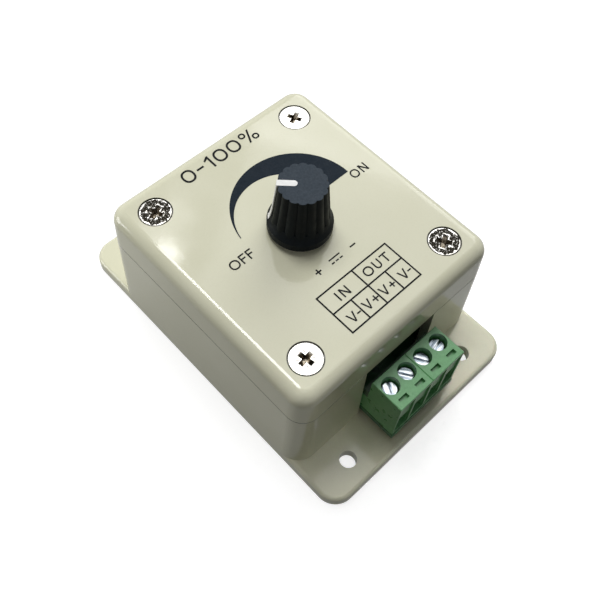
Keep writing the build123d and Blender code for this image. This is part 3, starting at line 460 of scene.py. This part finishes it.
def print_shape(name, loops, material):
    """Filled outlines in millimetres, as one piece: a skin of ink on the cover."""
    curve = bpy.data.curves.new(name, "CURVE")
    curve.dimensions = "2D"
    curve.fill_mode = "BOTH"
    curve.extrude = INK / 2
    for loop in loops:
        spline = curve.splines.new("POLY")
        spline.points.add(len(loop) - 1)
        for point, (x, y) in zip(spline.points, loop):
            point.co = (x * MM, y * MM, 0, 1)
        spline.use_cyclic_u = True
    holder = bpy.data.objects.new(name, curve)
    bpy.context.scene.collection.objects.link(holder)
    bpy.context.view_layer.update()
    graph = bpy.context.evaluated_depsgraph_get()
    data = bpy.data.meshes.new_from_object(holder.evaluated_get(graph))
    bpy.data.objects.remove(holder)
    bpy.data.curves.remove(curve)
    for v in data.vertices:
        v.co.z += COVER_TOP + INK / 2
    data.materials.clear()
    data.materials.append(material)
    piece = bpy.data.objects.new(name, data)
    bpy.context.scene.collection.objects.link(piece)
    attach(piece, "housing")


def label(name, letters, height, y, t, material):
    """Characters on one base line: each is (character, left, right) in millimetres."""
    loops = []
    for letter, x0, x1 in letters:
        tall = x1 - x0 if letter == "+" else height
        low = y + (height - tall) / 2
        for loop in glyph(letter, x1 - x0, tall, t):
            loops.append([(x0 + x, low + y0) for x, y0 in loop])
    print_shape(name, loops, material)


def print_cover(ink):
    """Marks of the dial, the range in the title's place, the wiring table's words and signs,
    and a direct-current mark between a plus and a minus."""
    t = LETTER_STROKE
    label("print_on", [("O", 18.35, 20.65), ("N", 21.25, 23.1)], 2.35, 1.1, t, ink)
    off = [("O", -18.15, -15.75), ("F", -15.3, -13.75), ("F", -13.4, -11.9)]
    label("print_off", off, 2.4, 0.7, t, ink)
    title = [("O", -10.9, -7.6), ("-", -6.8, -4.9), ("1", -4.0, -2.5),
             ("O", -1.6, 1.7), ("O", 2.4, 5.7), ("%", 6.5, 10.9)]
    label("print_range", title, 3.65, 24.65, 0.5, ink)
    label("print_in", [("I", -6.45, -6.1), ("N", -5.25, -3.3)], 2.3, -19.2, t, ink)
    label("print_out", [("O", 1.7, 4.1), ("U", 4.75, 6.5), ("T", 7.1, 9.1)], 2.3, -19.1, t, ink)
    for i, left in enumerate((-8.4, -4.0, 1.0, 6.9), start=1):
        label("print_v_%d" % i, [("V", left, left + 2.05)], 2.3, -24.6, t, ink)
    signs = [("-", -6.1, -5.1), ("+", -1.5, 0.1), ("+", 3.6, 5.1), ("-", 9.1, 10.1)]
    for i, sign in enumerate(signs, start=1):
        label("print_sign_%d" % i, [sign], 1.5, -24.25, 0.32, ink)
    current = [bar(-1.6, 1.6, -10.75, -10.45)]
    current += [bar(x, x + 0.8, -11.75, -11.45) for x in (-1.6, -0.4, 0.8)]
    print_shape("print_direct_current", current, ink)
    label("print_supply_signs", [("+", -5.9, -4.3), ("-", 4.3, 5.9)], 1.6, -11.9, t, ink)


# Studio: area lamps, a plain world and a pale floor

def add_light(name, place, aim, size, power, spread):
    data = bpy.data.lights.new(name, "AREA")
    data.shape = "RECTANGLE"
    data.size, data.size_y = size
    data.energy = power
    data.spread = math.radians(spread)
    lamp = bpy.data.objects.new(name, data)
    bpy.context.scene.collection.objects.link(lamp)
    lamp.location = place
    towards = Vector(aim) - Vector(place)
    lamp.rotation_euler = towards.to_track_quat("-Z", "Y").to_euler()


def add_world():
    """White where it is seen or mirrored, and dim as a light."""
    world = bpy.data.worlds.new("world")
    world.use_nodes = True
    tree = world.node_tree
    background = tree.nodes["Background"]
    paths = tree.nodes.new("ShaderNodeLightPath").outputs
    seen = paths["Is Camera Ray"]
    for other in ("Is Glossy Ray", "Is Transmission Ray"):
        either = tree.nodes.new("ShaderNodeMath")
        either.operation = "MAXIMUM"
        tree.links.new(seen, either.inputs[0])
        tree.links.new(paths[other], either.inputs[1])
        seen = either.outputs[0]
    strength = tree.nodes.new("ShaderNodeMapRange")
    tree.links.new(seen, strength.inputs["Value"])
    strength.inputs["To Min"].default_value = WORLD_LIGHT
    strength.inputs["To Max"].default_value = WORLD_SEEN
    tree.links.new(strength.outputs[0], background.inputs["Strength"])
    background.inputs["Color"].default_value = (1, 1, 1, 1)
    bpy.context.scene.world = world


def add_floor():
    a = FLOOR_REACH
    data = bpy.data.meshes.new("floor")
    data.from_pydata([(-a, -a, 0), (a, -a, 0), (a, a, 0), (-a, a, 0)], [], [(0, 1, 2, 3)])
    data.materials.append(white_floor())
    floor = bpy.data.objects.new("floor", data)
    bpy.context.scene.collection.objects.link(floor)
    floor.location.z = -FLOOR_DROP


# The whole scene

def soften(nodes, width):
    """Small rounded edges, width in millimetres, on moulded pieces."""
    for name in nodes:
        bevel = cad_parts[name].modifiers.new("edges", "BEVEL")
        bevel.width = width * MM
        bevel.segments = 2
        bevel.limit_method = "ANGLE"
        bevel.angle_limit = math.radians(40)
        bevel.use_clamp_overlap = True
        bevel.harden_normals = True


def dress_all():
    """A material for each CAD node. Returns the ink for the lettering."""
    dress(["base_housing", "cover_housing"], ivory_plastic())
    dress(["cover_screws"], screw_nickel())
    for number, turn in enumerate(SLOT_TURNS, start=1):
        material = slot_screw_zinc("slot_screw_zinc_%d" % number, turn)
        dress(["clamp_screw_%d" % number], material)
    dress(["board_screws", "pot_washer", "pot_nut", "pot_can"], zinc())
    dress(["wire_clamp_%d" % i for i in range(1, 5)],
          metal("clamp_steel", (170, 170, 168), (208, 208, 205)))
    dress(["pot_lugs", "chip_legs", "transistor_frame"],
          metal("tinned", (190, 190, 186), (222, 222, 220), (0.3, 0.45)))
    dress(["current_bars", "pot_bushing", "pot_wiper"],
          metal("brass", (172, 142, 82), (205, 178, 112)))
    dress(["pot_shaft"],
          metal("turned_aluminium", (190, 191, 193), (221, 222, 224), stretch=(1, 1, 12)))
    dress(["knob"], black_knob())
    dress(["knob_pointer"],
          plastic("white_inlay", (222, 222, 220), (240, 240, 238), (0.45, 0.6)))
    dress(["terminal_block_in", "terminal_block_out"], green_polyamide())
    dress(["circuit_board", "pot_track"],
          plastic("solder_mask", (22, 70, 34), (34, 92, 46), (0.25, 0.4)))
    dress(["transistor_body", "control_chip", "pot_rotor"],
          plastic("black_epoxy", (22, 22, 23), (38, 38, 40), (0.5, 0.7)))
    dress(["diode"], plastic("diode_black", (24, 24, 25), (44, 44, 46), (0.3, 0.5)))
    dress(["resistors"], plastic("resistor_tan", (176, 142, 96), (198, 166, 118), (0.4, 0.6)))
    dress(["disc_capacitors"],
          plastic("ceramic_ochre", (190, 124, 50), (210, 146, 70), (0.3, 0.5)))
    dress(["electrolytic_capacitor"],
          plastic("capacitor_sleeve", (20, 28, 66), (34, 42, 88), (0.2, 0.35)))
    dress(["pot_leads"], plastic("lead_insulation", (160, 30, 24), (186, 44, 36), (0.3, 0.45)))
    dress(["dial_arc"],
          plastic("ink_blue_black", (14, 25, 34), (24, 34, 44), (0.5, 0.65), 2200, 0.01 * MM, 0.08))
    ink = plastic("ink_black", (13, 15, 16), (23, 25, 26), (0.5, 0.65), 2200, 0.01 * MM, 0.1)
    dress(["wiring_table"], ink)
    return ink


def make_scene():
    """Camera, materials, print, edges, lamps, world and floor, in this order."""
    add_camera()
    ink = dress_all()
    print_cover(ink)
    soften(["terminal_block_in", "terminal_block_out"], 0.12)
    soften(["knob"], 0.08)
    for lamp in LAMPS:
        add_light(*lamp)
    add_world()
    add_floor()
    bpy.context.scene.view_settings.view_transform = "Standard"


make_scene()
